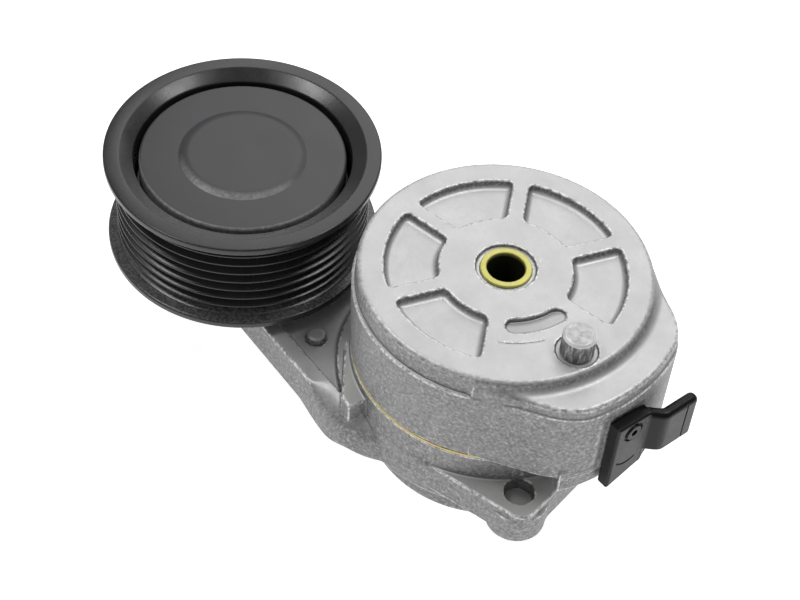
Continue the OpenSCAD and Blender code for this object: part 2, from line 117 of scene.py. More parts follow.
def wall(x, y, angle, reach):
    """Distance beyond an upright wall that faces the angle."""
    facing = polar(1, angle)
    return x * facing[0] + y * facing[1] - reach


def post(x, y, centre, radius):
    return np.hypot(x - centre[0], y - centre[1]) - radius


def outline(x, y, points):
    """Signed distance to a closed outline."""
    nearest = np.full(np.broadcast_shapes(np.shape(x), np.shape(y)), 1e9)
    sign = np.ones_like(nearest)
    for (ax, ay), (bx, by) in zip(points, list(points[1:]) + [points[0]]):
        ex, ey = bx - ax, by - ay
        wx, wy = x - ax, y - ay
        t = np.clip((wx * ex + wy * ey) / (ex * ex + ey * ey), 0, 1)
        nearest = np.minimum(nearest, (wx - t * ex) ** 2 + (wy - t * ey) ** 2)
        above, below, left = wy >= 0, y < by, ex * wy > ey * wx
        sign = np.where((above & below & left) | ~(above | below | left), -sign, sign)
    return sign * np.sqrt(nearest)


def arc_slot(x, y, radius, half, start, end):
    """A curved slot with round ends, seen from above."""
    lap = math.degrees(half / radius)
    middle = (start + end) / 2
    reach = (end - start) / 2 - lap
    turn = polar(1, -middle)
    u, v = x * turn[0] - y * turn[1], x * turn[1] + y * turn[0]
    angle = np.clip(np.arctan2(v, u), -math.radians(reach), math.radians(reach))
    return np.hypot(u - radius * np.cos(angle), v - radius * np.sin(angle)) - half


# ---- From a field to a mesh ----

CORNERS = [(i, j, k) for i in (0, 1) for j in (0, 1) for k in (0, 1)]
EDGES = [(a, b) for a in CORNERS for b in CORNERS if a < b and sum(q - p for p, q in zip(a, b)) == 1]


def surface_net(field, axes):
    """Vertices and quads of the field's zero surface on a grid with the given axis values."""
    grids = np.meshgrid(*axes, indexing="ij", sparse=True)
    shape = tuple(len(a) for a in axes)
    d = np.ascontiguousarray(np.broadcast_to(field(*grids), shape), np.float32)
    cells = tuple(n - 1 for n in shape)
    inside = (d < 0).astype(np.uint8)
    count = sum(inside[i : i + cells[0], j : j + cells[1], k : k + cells[2]] for i, j, k in CORNERS)
    active = (count > 0) & (count < 8)
    where = np.argwhere(active)
    number = np.full(cells, -1, np.int64)
    number[active] = np.arange(len(where))
    total = np.zeros((len(where), 3))
    hits = np.zeros(len(where))
    for a, b in EDGES:
        da = d[tuple((where + a).T)].astype(float)
        db = d[tuple((where + b).T)].astype(float)
        cross = (da < 0) != (db < 0)
        t = np.where(cross, da / np.where(cross, da - db, 1), 0)
        total += cross[:, None] * (np.array(a) + t[:, None] * (np.array(b) - np.array(a)))
        hits += cross
    share = total / hits[:, None]
    points = np.empty_like(share)
    for k in range(3):
        low = axes[k][where[:, k]]
        points[:, k] = low + share[:, k] * (axes[k][where[:, k] + 1] - low)
    quads = []
    for k in range(3):
        b, c = (k + 1) % 3, (k + 2) % 3
        near = [slice(None)] * 3
        near[k] = slice(0, -1)
        far = [slice(None)] * 3
        far[k] = slice(1, None)
        change = inside[tuple(near)] != inside[tuple(far)]
        at = np.argwhere(change)
        keep = (at[:, b] > 0) & (at[:, c] > 0) & (at[:, b] < shape[b] - 1) & (at[:, c] < shape[c] - 1)
        at = at[keep]
        ring = []
        for db, dc in ((-1, -1), (0, -1), (0, 0), (-1, 0)):
            cell = at.copy()
            cell[:, b] += db
            cell[:, c] += dc
            ring.append(number[tuple(cell.T)])
        quad = np.stack(ring, 1)
        leaving = inside[tuple(at.T)] == 1
        quads.append(np.where(leaving[:, None], quad, quad[:, ::-1]))
    return points, np.concatenate(quads)


def gradient(field, points, h):
    """The field and its gradient at each point, from samples h to each side."""
    x, y, z = points.T
    across = [
        field(x + h * i, y + h * j, z + h * k) - field(x - h * i, y - h * j, z - h * k)
        for i, j, k in ((1, 0, 0), (0, 1, 0), (0, 0, 1))
    ]
    return field(x, y, z), np.stack(across, 1) / (2 * h)


def settle(field, points, reach, rounds=3):
    """Moves points onto the zero surface, no further than reach."""
    start = points.copy()
    for _ in range(rounds):
        value, slope = gradient(field, points, 0.03)
        step = value[:, None] * slope / np.maximum((slope**2).sum(1), 0.2)[:, None]
        points = start + np.clip(points - step - start, -reach, reach)
    return points


def bend_of(field, points, h):
    """How sharply the surface turns: above 0 on outer edges, below 0 in inner corners, per mm."""
    x, y, z = points.T
    around = sum(
        field(x + h * i * s, y + h * j * s, z + h * k * s)
        for i, j, k in ((1, 0, 0), (0, 1, 0), (0, 0, 1))
        for s in (-1, 1)
    )
    return (around - 6 * field(x, y, z)) / (h * h)


def mesh_of(name, points, faces):
    mesh = bpy.data.meshes.new(name)
    mesh.vertices.add(len(points))
    mesh.vertices.foreach_set("co", np.asarray(points, np.float32).ravel())
    mesh.loops.add(faces.size)
    mesh.loops.foreach_set("vertex_index", faces.astype(np.int32).ravel())
    mesh.polygons.add(len(faces))
    starts = np.arange(0, faces.size, faces.shape[1], dtype=np.int32)
    mesh.polygons.foreach_set("loop_start", starts)
    mesh.update(calc_edges=True)
    mesh.validate()
    return mesh


def link(name, mesh, material):
    piece = bpy.data.objects.new(name, mesh)
    bpy.context.scene.collection.objects.link(piece)
    mesh.materials.append(material)
    mesh.polygons.foreach_set("use_smooth", np.ones(len(mesh.polygons), bool))
    return piece


def lean(piece, limit, plain):
    """Collapses a dense mesh to at most limit triangles, first at the plain vertices."""
    count = sum(len(p.vertices) - 2 for p in piece.data.polygons)
    if count <= limit:
        return
    modifier = piece.modifiers.new("lean", "DECIMATE")
    modifier.ratio = limit / count
    piece.vertex_groups.new(name="plain").add(plain.tolist(), 1.0, "REPLACE")
    modifier.vertex_group = "plain"
    modifier.vertex_group_factor = 1.0
    ready = bpy.data.meshes.new_from_object(piece.evaluated_get(bpy.context.evaluated_depsgraph_get()))
    piece.modifiers.clear()
    piece.vertex_groups.clear()
    piece.data = ready


PLAIN_BEND = 0.08
BEND_REACH = 0.45
BEND_RANGE = (-2.5, 1.5)


def grown(name, field, axes, material, limit=STL_LIMIT):
    """A piece meshed from a field in mm, with true normals and a bend attribute for its material."""
    points, quads = surface_net(field, axes)
    reach = 0.6 * max(float(np.diff(a).max()) for a in axes)
    points = settle(field, points, reach)
    piece = link(name, mesh_of(name, points, quads), material)
    lean(piece, limit, np.flatnonzero(np.abs(bend_of(field, points, 1.0)) < PLAIN_BEND))
    mesh = piece.data
    mesh.name = name
    co = np.empty(len(mesh.vertices) * 3)
    mesh.vertices.foreach_get("co", co)
    co = settle(field, co.reshape(-1, 3), 0.3, 2)
    _, slope = gradient(field, co, 0.06)
    steep = np.maximum(np.linalg.norm(slope, axis=1), 0.3)
    slope /= steep[:, None]
    bend = np.clip(bend_of(field, co, BEND_REACH) / steep, *BEND_RANGE)
    mesh.attributes.new("bend", "FLOAT", "POINT").data.foreach_set("value", bend.astype(np.float32))
    mesh.vertices.foreach_set("co", (co * MM).astype(np.float32).ravel())
    mesh.polygons.foreach_set("use_smooth", np.ones(len(mesh.polygons), bool))
    mesh.update()
    mesh.normals_split_custom_set_from_vertices(slope.astype(np.float32))
    return piece


def steps(*spans):
    """Axis values from (start, end, spacing) spans that follow each other."""
    coarser = 1.0
    values = [spans[0][0]]
    for start, end, spacing in spans:
        n = max(1, round((end - start) / (spacing * coarser)))
        values.extend(np.linspace(start, end, n + 1)[1:])
    return np.array(values)


# ---- Lathed pieces ----

TURNED_CREASE = math.radians(35)


def rounded(corners, turns=5):
    """Replaces each (r, z, radius) corner of a closed profile with an arc; radius 0 keeps it sharp."""
    points = []
    n = len(corners)
    for i, (r, z, radius) in enumerate(corners):
        here = np.array([r, z], float)
        if radius <= 0:
            points.append(here)
            continue
        before = np.array(corners[i - 1][:2], float) - here
        after = np.array(corners[(i + 1) % n][:2], float) - here
        lb, la = np.linalg.norm(before), np.linalg.norm(after)
        before, after = before / lb, after / la
        half = math.acos(np.clip(before @ after, -1, 1)) / 2
        if half > math.radians(88):
            points.append(here)
            continue
        run = min(radius / math.tan(half), 0.49 * lb, 0.49 * la)
        true_radius = run * math.tan(half)
        middle = (before + after) / np.linalg.norm(before + after)
        centre = here + middle * true_radius / math.sin(half)
        a, b = here + before * run - centre, here + after * run - centre
        a0, a1 = math.atan2(a[1], a[0]), math.atan2(b[1], b[0])
        sweep = (a1 - a0 + math.pi) % (2 * math.pi) - math.pi
        for k in range(turns + 1):
            angle = a0 + sweep * k / turns
            points.append(centre + true_radius * np.array([math.cos(angle), math.sin(angle)]))
    return np.array(points)


def lathe(name, profile, material, centre=(0, 0), segments=128, span=None):
    """Turns a closed (r, z) profile in mm about the upright axis at centre; span gives part of a turn."""
    if signed_area(profile) < 0:
        profile = profile[::-1]
    whole = span is None
    start, end = (0.0, 360.0) if whole else span
    around = segments if whole else max(3, int(segments * (end - start) / 360)) + 1
    angles = np.radians(np.linspace(start, end, around, endpoint=not whole))
    r, z = profile[:, 0], profile[:, 1]
    points = np.stack(
        [
            (centre[0] + np.outer(np.cos(angles), r)).ravel(),
            (centre[1] + np.outer(np.sin(angles), r)).ravel(),
            np.tile(z, around),
        ],
        1,
    )
    n = len(profile)
    rows = around if whole else around - 1
    i, j = np.meshgrid(np.arange(rows), np.arange(n), indexing="ij")
    i2, j2 = (i + 1) % around, (j + 1) % n
    faces = np.stack([i * n + j, i2 * n + j, i2 * n + j2, i * n + j2], -1).reshape(-1, 4)
    keep = ~((r[faces[:, 0] % n] < 1e-6) & (r[faces[:, 2] % n] < 1e-6))
    mesh = mesh_of(name, points * MM, faces[keep])
    piece = link(name, mesh, material)
    tidy(piece, caps=not whole)
    mesh.set_sharp_from_angle(angle=TURNED_CREASE)
    return piece


def signed_area(profile):
    x, y = profile[:, 0], profile[:, 1]
    return 0.5 * float(np.sum(x * np.roll(y, -1) - y * np.roll(x, -1)))


def tidy(piece, caps=False):
    """Merges double points, closes open ends and turns the normals outwards."""
    work = bmesh.new()
    work.from_mesh(piece.data)
    bmesh.ops.remove_doubles(work, verts=work.verts, dist=1e-7)
    bmesh.ops.dissolve_degenerate(work, edges=work.edges, dist=1e-8)
    if caps:
        bmesh.ops.holes_fill(work, edges=[e for e in work.edges if e.is_boundary], sides=0)
    bmesh.ops.recalc_face_normals(work, faces=work.faces)
    work.to_mesh(piece.data)
    work.free()
    piece.data.polygons.foreach_set("use_smooth", np.ones(len(piece.data.polygons), bool))


def settle_transform(piece):
    """Moves a piece's placement into its mesh, its stored normals too."""
    mesh = piece.data
    normals = None
    if mesh.has_custom_normals:
        normals = np.empty(len(mesh.loops) * 3, np.float32)
        mesh.corner_normals.foreach_get("vector", normals)
        normals = normals.reshape(-1, 3) @ np.array(piece.matrix_basis.to_3x3()).T
    mesh.transform(piece.matrix_basis)
    piece.matrix_basis = Matrix.Identity(4)
    if normals is not None:
        mesh.normals_split_custom_set([tuple(v) for v in normals])


def stands_for(piece, body, slot, *nodes):
    """The piece rides on a body and replaces CAD nodes; slot is not used."""
    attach(piece, body)
    if nodes:
        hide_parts(*nodes)
    return piece


# ---- Materials ----


class Shader:
    """A small helper that wires up one procedural material."""

    def __init__(self, name):
        self.material = bpy.data.materials.new(name)
        self.material.use_nodes = True
        self.tree = self.material.node_tree
        self.bsdf = self.tree.nodes["Principled BSDF"]
        self.place = self.node("ShaderNodeTexCoord").outputs["Object"]

    def node(self, kind, **values):
        made = self.tree.nodes.new(kind)
        for key, value in values.items():
            setattr(made, key, value)
        return made

    def wire(self, source, target):
        self.tree.links.new(source, target)

    def set(self, **values):
        for key, value in values.items():
            self.bsdf.inputs[key.replace("_", " ")].default_value = value

    def noise(self, size_mm, detail=3.0, rough=0.55, stretch=(1, 1, 1)):
        """Noise from 0 to 1 whose features are about size_mm across."""
        mapping = self.node("ShaderNodeMapping")
        self.wire(self.place, mapping.inputs["Vector"])
        mapping.inputs["Scale"].default_value = stretch
        made = self.node("ShaderNodeTexNoise")
        self.wire(mapping.outputs["Vector"], made.inputs["Vector"])
        made.inputs["Scale"].default_value = 1 / (size_mm * MM * 2)
        made.inputs["Detail"].default_value = detail
        made.inputs["Roughness"].default_value = rough
        return made.outputs["Fac"]

    def ramp(self, source, stops):
        """Maps a value through (position, colour or grey) stops."""
        made = self.node("ShaderNodeValToRGB")
        self.wire(source, made.inputs["Fac"])
        ramp = made.color_ramp
        while len(ramp.elements) < len(stops):
            ramp.elements.new(0.5)
        for element, (position, colour) in zip(ramp.elements, stops):
            element.position = position
            if isinstance(colour, (int, float)):
                colour = (colour, colour, colour)
            element.color = (*colour, 1)
        return made.outputs["Color"]

    def span(self, source, a, b, c=0.0, d=1.0):
        """Maps a to c and b to d, and holds those values beyond them."""
        made = self.node("ShaderNodeMapRange")
        self.wire(source, made.inputs["Value"])
        for key, value in (("From Min", a), ("From Max", b), ("To Min", c), ("To Max", d)):
            made.inputs[key].default_value = value
        return made.outputs["Result"]

    def math(self, operation, a, b):
        made = self.node("ShaderNodeMath", operation=operation)
        for socket, value in zip(made.inputs, (a, b)):
            if isinstance(value, (int, float)):
                socket.default_value = value
            else:
                self.wire(value, socket)
        return made.outputs["Value"]

    def mix(self, share, a, b):
        made = self.node("ShaderNodeMix", data_type="RGBA")
        for index, value in ((0, share), (6, a), (7, b)):
            socket = made.inputs[index]
            if hasattr(value, "links"):
                self.wire(value, socket)
            elif isinstance(value, (int, float)):
                socket.default_value = value if index == 0 else (value, value, value, 1)
            else:
                socket.default_value = (*value, 1)
        return made.outputs[2]

    def bump(self, height, depth_mm, below=None):
        """Raises the surface by a height from 0 to 1, on top of the relief below."""
        made = self.node("ShaderNodeBump")
        made.inputs["Strength"].default_value = 1.0
        made.inputs["Distance"].default_value = depth_mm * MM
        self.wire(height, made.inputs["Height"])
        if below is not None:
            self.wire(below, made.inputs["Normal"])
        return made.outputs["Normal"]

    def upward(self):
        """How far the surface faces up the frame's Z axis, from -1 to 1."""
        made = self.node("ShaderNodeNewGeometry")
        split = self.node("ShaderNodeSeparateXYZ")
        self.wire(made.outputs["Normal"], split.inputs["Vector"])
        return split.outputs["Z"]

    def facing(self, direction):
        """How far the surface faces a direction, from -1 to 1."""
        made = self.node("ShaderNodeNewGeometry")
        dot = self.node("ShaderNodeVectorMath", operation="DOT_PRODUCT")
        self.wire(made.outputs["Normal"], dot.inputs[0])
        dot.inputs[1].default_value = direction
        return dot.outputs["Value"]

    def bend(self):
        """The stored bend: above 0 on outer edges, below 0 in inner corners."""
        made = self.node("ShaderNodeAttribute", attribute_name="bend")
        return made.outputs["Fac"]

    def height(self):
        """The Z coordinate in metres."""
        split = self.node("ShaderNodeSeparateXYZ")
        self.wire(self.place, split.inputs["Vector"])
        return split.outputs["Z"]


def cast_metal(name):
    """Die-cast aluminium: flats smooth and pale, side walls peened with bright flecks and darker, partly
    from the peening and partly as painted shade; edges lightened by wear and painted highlight, creases
    darkened as painted shade, and a painted highlight along some wall feet.
    """
    s = Shader(name)
    cloud = s.noise(8, 5, 0.62)
    grain = s.noise(0.5, 4, 0.7)
    speck = s.noise(0.34, 2, 0.6)
    # Walls get a darker, flecked base colour and flats a pale one: partly the peened finish, partly painted
    # shade on the walls.
    flat = s.span(s.math("ABSOLUTE", s.upward(), 0), 0.50, 0.95)
    side = s.ramp(grain, [(0.36, 0.118), (0.48, 0.20), (0.57, 0.275), (0.68, 0.47)])
    side = s.mix(s.span(cloud, 0.35, 0.65, 0.0, 0.4), side, 0.275)
    plain = s.ramp(cloud, [(0.36, 0.50), (0.64, 0.58)])
    plain = s.mix(s.span(speck, 0.52, 0.70, 0.0, 0.35), plain, 0.46)
    colour = s.mix(flat, side, plain)
    # Convex edges lightened: partly worn bare metal, partly painted highlight.
    edge = s.math("MULTIPLY", s.span(s.bend(), 0.40, 1.1), s.span(grain, 0.36, 0.52, 0.35, 1.0))
    wear_and_highlight = s.ramp(s.noise(0.7, 3, 0.7), [(0.38, 0.26), (0.47, 0.62), (0.57, 0.92)])
    colour = s.mix(s.math("MULTIPLY", edge, 0.9), colour, wear_and_highlight)
    # Painted shade: inner corners and creases darkened.
    crease_shade = s.math("MULTIPLY", s.span(s.bend(), -0.7, -2.4), s.span(grain, 0.36, 0.6, 0.6, 1.0))
    colour = s.mix(s.math("MULTIPLY", crease_shade, 0.75), colour, 0.06)
    # Painted highlight: a bright line on the up-facing fillet at the foot of walls that face about -80
    # degrees.
    fillet = s.math("MULTIPLY", s.span(s.bend(), -0.15, -0.6, 0.0, 0.6), s.span(s.upward(), 0.82, 0.96))
    fillet = s.math("MULTIPLY", fillet, s.span(s.facing((*polar(1, -80), 0)), 0.04, 0.25))
    colour = s.mix(fillet, colour, 0.85)
    s.wire(colour, s.bsdf.inputs["Base Color"])
    rough = s.math("ADD", s.span(flat, 0, 1, 0.50, 0.46), s.span(grain, 0.3, 0.7, -0.06, 0.08))
    s.wire(rough, s.bsdf.inputs["Roughness"])
    s.set(Metallic=0.45)
    peen = s.bump(s.noise(1.1, 2, 0.5), 0.08)
    fine = s.bump(grain, 0.05, peen)
    soft = s.bump(grain, 0.012, s.bump(cloud, 0.12))
    normal = s.node("ShaderNodeMix", data_type="VECTOR")
    s.wire(flat, normal.inputs[0])
    s.wire(fine, normal.inputs[4])
    s.wire(soft, normal.inputs[5])
    s.wire(normal.outputs[1], s.bsdf.inputs["Normal"])
    return s.material


def turned_metal(name, base, rough, metallic=1.0, tint=None, bore_shade=False):
    """Turned or ground steel: fine lines round the axis, slight stains; bore_shade paints shade that
    darkens it down a bore.
    """
    s = Shader(name)
    lines = s.noise(0.25, 2, 0.5, (0.25, 0.25, 4))
    stain = s.noise(2.5, 3, 0.6)
    dark = tuple(0.75 * c for c in base)
    colour = s.mix(s.span(stain, 0.3, 0.7), dark, base)
    if tint:
        colour = s.mix(s.span(s.noise(1.6, 2, 0.5), 0.5, 0.75), colour, tint)
    if bore_shade:
        # Painted shade: the colour darkens to near black from 0.3 mm to 1.6 mm away from the frame's zero
        # height, down the bore.
        colour = s.mix(s.span(s.math("ABSOLUTE", s.height(), 0), 0.0003, 0.0016, 0.0, 0.97), colour, 0.01)
    s.wire(colour, s.bsdf.inputs["Base Color"])
    s.wire(s.span(stain, 0.2, 0.8, rough - 0.06, rough + 0.08), s.bsdf.inputs["Roughness"])
    s.set(Metallic=metallic)
    s.wire(s.bump(lines, 0.01), s.bsdf.inputs["Normal"])
    return s.material


def dowel_wear_and_glint(name):
    """Handled steel pin: stained streaky side, a bright chamfer that is partly wear and partly painted
    highlight, grey end.
    """
    s = Shader(name)
    streak = s.noise(0.5, 3, 0.65, (1, 1, 0.2))
    side = s.ramp(streak, [(0.36, 0.10), (0.50, 0.24), (0.64, 0.52)])
    end = s.ramp(s.noise(0.9, 3, 0.6), [(0.36, 0.34), (0.64, 0.50)])
    tilt = s.math("ABSOLUTE", s.upward(), 0)
    # Tilted faces, the chamfer among them, get a bright tone: partly wear, partly painted highlight.
    colour = s.mix(s.span(tilt, 0.05, 0.35), side, 0.85)
    colour = s.mix(s.span(tilt, 0.93, 0.985), colour, end)
    s.wire(colour, s.bsdf.inputs["Base Color"])
    s.wire(s.span(streak, 0.3, 0.7, 0.40, 0.55), s.bsdf.inputs["Roughness"])
    s.set(Metallic=0.8)
    s.wire(s.bump(streak, 0.03), s.bsdf.inputs["Normal"])
    return s.material


def moulded(name, dark, light, rough, grain_mm=0.5, depth=0.01, shine=0.5, painted_light=()):
    """Moulded plastic or rubber: soft cloudy tone and a fine grain.

    Each entry of painted_light is painted light: a direction, the span over which a surface comes to face
    it, the two tones painted there and the height in mm that the tone stays under.
    """
    s = Shader(name)
    cloud = s.noise(5, 4, 0.6)
    grain = s.noise(grain_mm, 3, 0.6)
    colour = s.mix(s.span(cloud, 0.3, 0.7), dark, light)
    # Painted light: faces turned towards each direction get a lighter speckled tone.
    for direction, (start, end), tones, top in painted_light:
        lit_tone = s.ramp(grain, [(0.38, tones[0]), (0.62, tones[1])])
        under = s.span(s.height(), top * MM, (top - 0.5) * MM)
        amount = s.math("MULTIPLY", s.span(s.facing(direction), start, end), under)
        colour = s.mix(amount, colour, lit_tone)
    s.wire(colour, s.bsdf.inputs["Base Color"])
    s.wire(s.span(cloud, 0.25, 0.75, rough - 0.05, rough + 0.06), s.bsdf.inputs["Roughness"])
    s.set(Specular_IOR_Level=shine)
    s.wire(s.bump(grain, depth), s.bsdf.inputs["Normal"])
    return s.material


CASE_CAST = cast_metal("case_cast")
ARM_CAST = cast_metal("arm_cast")
YELLOW_ZINC = turned_metal("yellow_zinc", (0.62, 0.56, 0.20), 0.42, 0.6, (0.66, 0.42, 0.24))
SLEEVE_ZINC = turned_metal("sleeve_zinc", (0.66, 0.64, 0.19), 0.46, 0.5, (0.66, 0.52, 0.24), bore_shade=True)
DOWEL_STEEL = dowel_wear_and_glint("dowel_steel")
PLAIN_STEEL = turned_metal("plain_steel", (0.58, 0.58, 0.60), 0.38)
DARK_STEEL = turned_metal("dark_steel", (0.16, 0.16, 0.17), 0.45)
BEARING_STEEL = turned_metal("bearing_steel", (0.72, 0.73, 0.75), 0.18)
SPRING_STEEL = turned_metal("spring_steel", (0.22, 0.23, 0.25), 0.40)
CAGE_BRASS = turned_metal("cage_brass", (0.72, 0.55, 0.25), 0.32)
PULLEY_BLACK = moulded(
    "pulley_black", (0.014, 0.014, 0.015), (0.022, 0.022, 0.024), 0.27, 0.45, 0.016,
    painted_light=[
        # Painted light: the near side of the cone, facing about 118 degrees, lightened in place of a
        # reflection.
        ((*polar(1, 118), 0), (0.1, 0.45), (0.08, 0.12), 0),
        # Painted light: up-facing faces within 4 mm of the pulley's bottom lightened.
        ((0, 0, 1), (0.6, 0.9), (0.04, 0.12), PULLEY_LOW[2] + 4),
    ],
)
COVER_BLACK = moulded(
    "cover_black", (0.038, 0.038, 0.041), (0.048, 0.048, 0.051), 0.42, 0.6, 0.010,
    # Painted highlight: a light crescent on the slope of the raised centre that faces about -72 degrees.
    painted_light=[((*polar(1, -72), 0), (0.10, 0.34), (0.13, 0.22), 0)],
)
CLIP_BLACK = moulded(
    "clip_black", (0.003, 0.003, 0.0035), (0.005, 0.005, 0.0055), 0.34, 0.5, 0.012, shine=0.2,
    # Painted light: the clip's outward face is lighter than its black sides.
    painted_light=[((*polar(1, CLIP_ANGLE), 0), (0.75, 0.97), (0.015, 0.034), 0)],
)
SEAT_PLASTIC = moulded("seat_plastic", (0.05, 0.05, 0.055), (0.07, 0.07, 0.075), 0.55)
BUSHING_PLASTIC = moulded("bushing_plastic", (0.22, 0.14, 0.08), (0.30, 0.20, 0.11), 0.5)
LINING = moulded("lining", (0.07, 0.06, 0.055), (0.10, 0.09, 0.08), 0.8, 0.4, 0.03)
SEAL_RUBBER = moulded("seal_rubber", (0.03, 0.025, 0.025), (0.045, 0.04, 0.04), 0.6)


# ---- Case ----

SPOKES = [-68 + 60 * k for k in range(6)]
SPOKE_HALF = 2.3
POCKET_IN_R = 19.1
POCKET_OUT_R = 34.5
POCKET_DEPTH = 2.4
EXTENSION = (-76, 49)
EXTENSION_R = 52.5
RIM_R = 42.4
LEDGE_R = 43.3
DISC_R = 42.2
DISC_LOW_Z = -8.5
SHOULDER_Z = -3.5
CAVITY_R = 38.5
CAVITY_TOP_Z = -10
LUG_IN_R = 44.5
LUG_OUT_R = 51.8
LUG_TOP_Z = -30
LUG_LOW_Z = -38.6
LUG_WALLS = (-130, 78)
RELIEF_IN_R = 42.1
RELIEF_OUT_R = 49.2
RELIEF_WALLS = (-98, 98)
SLOT_R = 21.8
SLOT_HALF = 2.7
SLOT_SPAN = (-61, -13.5)
SLOT_LOW_Z = -1.8
SLOT_RISE = 1.5
TUBE_TOP_Z = -9.5
CIRCLIP_Z = -71.3
CLIP_N = polar(1, CLIP_ANGLE)
CLIP_T = polar(1, CLIP_ANGLE + 90)
CLIP_FLAT = 52
CLIP_FLAT_HALF = 20
CLIP_FLAT_TOP_Z = -11
SLEEVE_STEP_R = 8.9
DOWEL_STEP_R = DOWEL_R + 1.45
SECTOR_STEP_R = 27.8
SECTOR_STEP_TURN = -0.93


def extension_field(x, y, r, grow):
    """The bulge on the clip's side, between two flats that run off the round rim."""
    sides = [wall(x, y, a, RIM_R + grow) for a in EXTENSION]
    behind = [-wall(x, y, EXTENSION[0] + 90, 4), -wall(x, y, EXTENSION[1] - 90, 4)]
    shape = round_and(np.maximum(*sides), r - EXTENSION_R - grow, 4.5 + grow)
    return np.maximum(shape, np.maximum(*behind))


def pocket_field(x, y, z, r):
    """The five sector pockets in the mounting face."""
    depth = np.maximum(-z, 0)
    draft = 0.22 * depth
    found = None
    for start in SPOKES[1:]:
        one = round_and(POCKET_IN_R - r, r - POCKET_OUT_R, 1.8)
        for spoke, turn in ((start, -90), (start + 60, 90)):
            one = round_and(one, wall(x, y, spoke + turn, -SPOKE_HALF), 1.8)
        found = one if found is None else np.minimum(found, one)
    return round_and(found + draft, -POCKET_DEPTH - z, 1.5)


def ease(distance, width):
    """Rises smoothly from 0 to 1 as distance goes from 0 to width."""
    t = np.clip(distance / width, 0, 1)
    return t * t * (3 - 2 * t)


def face_relief(x, y, r):
    """Depth of the shallow steps in the mounting face: round the sleeve, the dowel and across a sector."""
    sleeve = 0.9 * ease(SLEEVE_STEP_R - r, 0.4)
    dowel = 0.5 * ease(-post(x, y, DOWEL_XY, DOWEL_STEP_R), 0.4)
    fade = ease(wall(x, y, 28, 0) + 4.5, 5) * ease(-wall(x, y, -34 + 90, 0.2), 3)
    near = np.abs(np.arctan2(y, x) - SECTOR_STEP_TURN) < 0.6
    across = np.where(near, 0.26 * ease(r - SECTOR_STEP_R, 0.45) * ease(35 - r, 7) * fade, 0)
    return np.maximum(np.maximum(sleeve, dowel), across)


def case_field(x, y, z):
    r = np.hypot(x, y)
    cone = RIM_R + (z - CASE_RIM_Z) * (LEDGE_R - RIM_R) / (LEDGE_Z - CASE_RIM_Z)
    top = round_and(r - DISC_R, z + face_relief(x, y, r), 1.6)
    top = np.maximum(top, DISC_LOW_Z - z)
    shoulder = round_and(extension_field(x, y, r, -0.6), z - SHOULDER_Z, 1.3)
    top = round_or(top, np.maximum(shoulder, DISC_LOW_Z - z), 3.0)
    drum = round_and(r - cone, z - LEDGE_Z, 0.6)
    extension = round_and(extension_field(x, y, r, 0), z - LEDGE_Z, 0.6)
    body = round_and(np.minimum(drum, extension), CASE_RIM_Z - z, 0.5)
    case = round_or(top, body, 0.3)

    lug_sides = np.maximum(*[wall(x, y, angle, 0) for angle in LUG_WALLS])
    lug = np.maximum(lug_sides, round_and(r - LUG_OUT_R, LUG_IN_R - r, 0.5))
    lug = np.maximum(round_and(lug, LUG_LOW_Z - z, 0.8), z - LUG_TOP_Z)
    case = round_or(case, lug, 0.8)

    cavity = np.maximum(round_and(r - CAVITY_R, z - CAVITY_TOP_Z, 2), TUBE_R - r)
    case = np.maximum(case, -cavity)
    relief_sides = np.maximum(*[wall(x, y, angle, 0) for angle in RELIEF_WALLS])
    relief = np.maximum(round_and(r - RELIEF_OUT_R, RELIEF_IN_R - r, 1.5), relief_sides)
    case = np.maximum(case, -round_and(relief, z - CAVITY_TOP_Z, 1.5))

    case = round_cut(case, pocket_field(x, y, z, r), 0.45)
    slot_z = SLOT_LOW_Z + np.clip((r - POCKET_IN_R) / (2 * SLOT_HALF), 0, 1) * SLOT_RISE
    slot = round_and(arc_slot(x, y, SLOT_R, SLOT_HALF, *SLOT_SPAN), slot_z - z, 0.6)
    case = round_cut(case, slot, 0.45)

    tube = round_and(np.maximum(r - TUBE_R, z - TUBE_TOP_Z), TUBE_END_Z - z, 0.4)
    groove = np.maximum(CIRCLIP_BORE_R - r, np.abs(z - CIRCLIP_Z) - 0.7)
    case = np.minimum(case, np.maximum(tube, -groove))
    case = np.maximum(case, SLEEVE_R - r)
    outward = x * CLIP_N[0] + y * CLIP_N[1]
    sideways = x * CLIP_T[0] + y * CLIP_T[1]
    flat = np.maximum(CLIP_FLAT - outward, z - CLIP_FLAT_TOP_Z)
    return round_cut(case, np.maximum(flat, np.abs(sideways) - CLIP_FLAT_HALF), 0.3)


case = grown(
    "case_casting",
    case_field,
    [
        steps((-45, -9.5, 0.55), (-9.5, 9.5, 0.32), (9.5, 24, 0.5), (24, 37.5, 0.34), (37.5, 54.5, 0.55)),
        steps((-45, -22.5, 0.55), (-22.5, -9.5, 0.34), (-9.5, 9.5, 0.32), (9.5, 45, 0.55)),
        steps((-75, -39.5, 1.2), (-39.5, -31, 0.5), (-31, -12, 1.1), (-12, -2.8, 0.42), (-2.8, 0.4, 0.16)),
    ],
    CASE_CAST,
)
stands_for(case, "case", "cast_case", "spring_case")

# ---- Arm ----

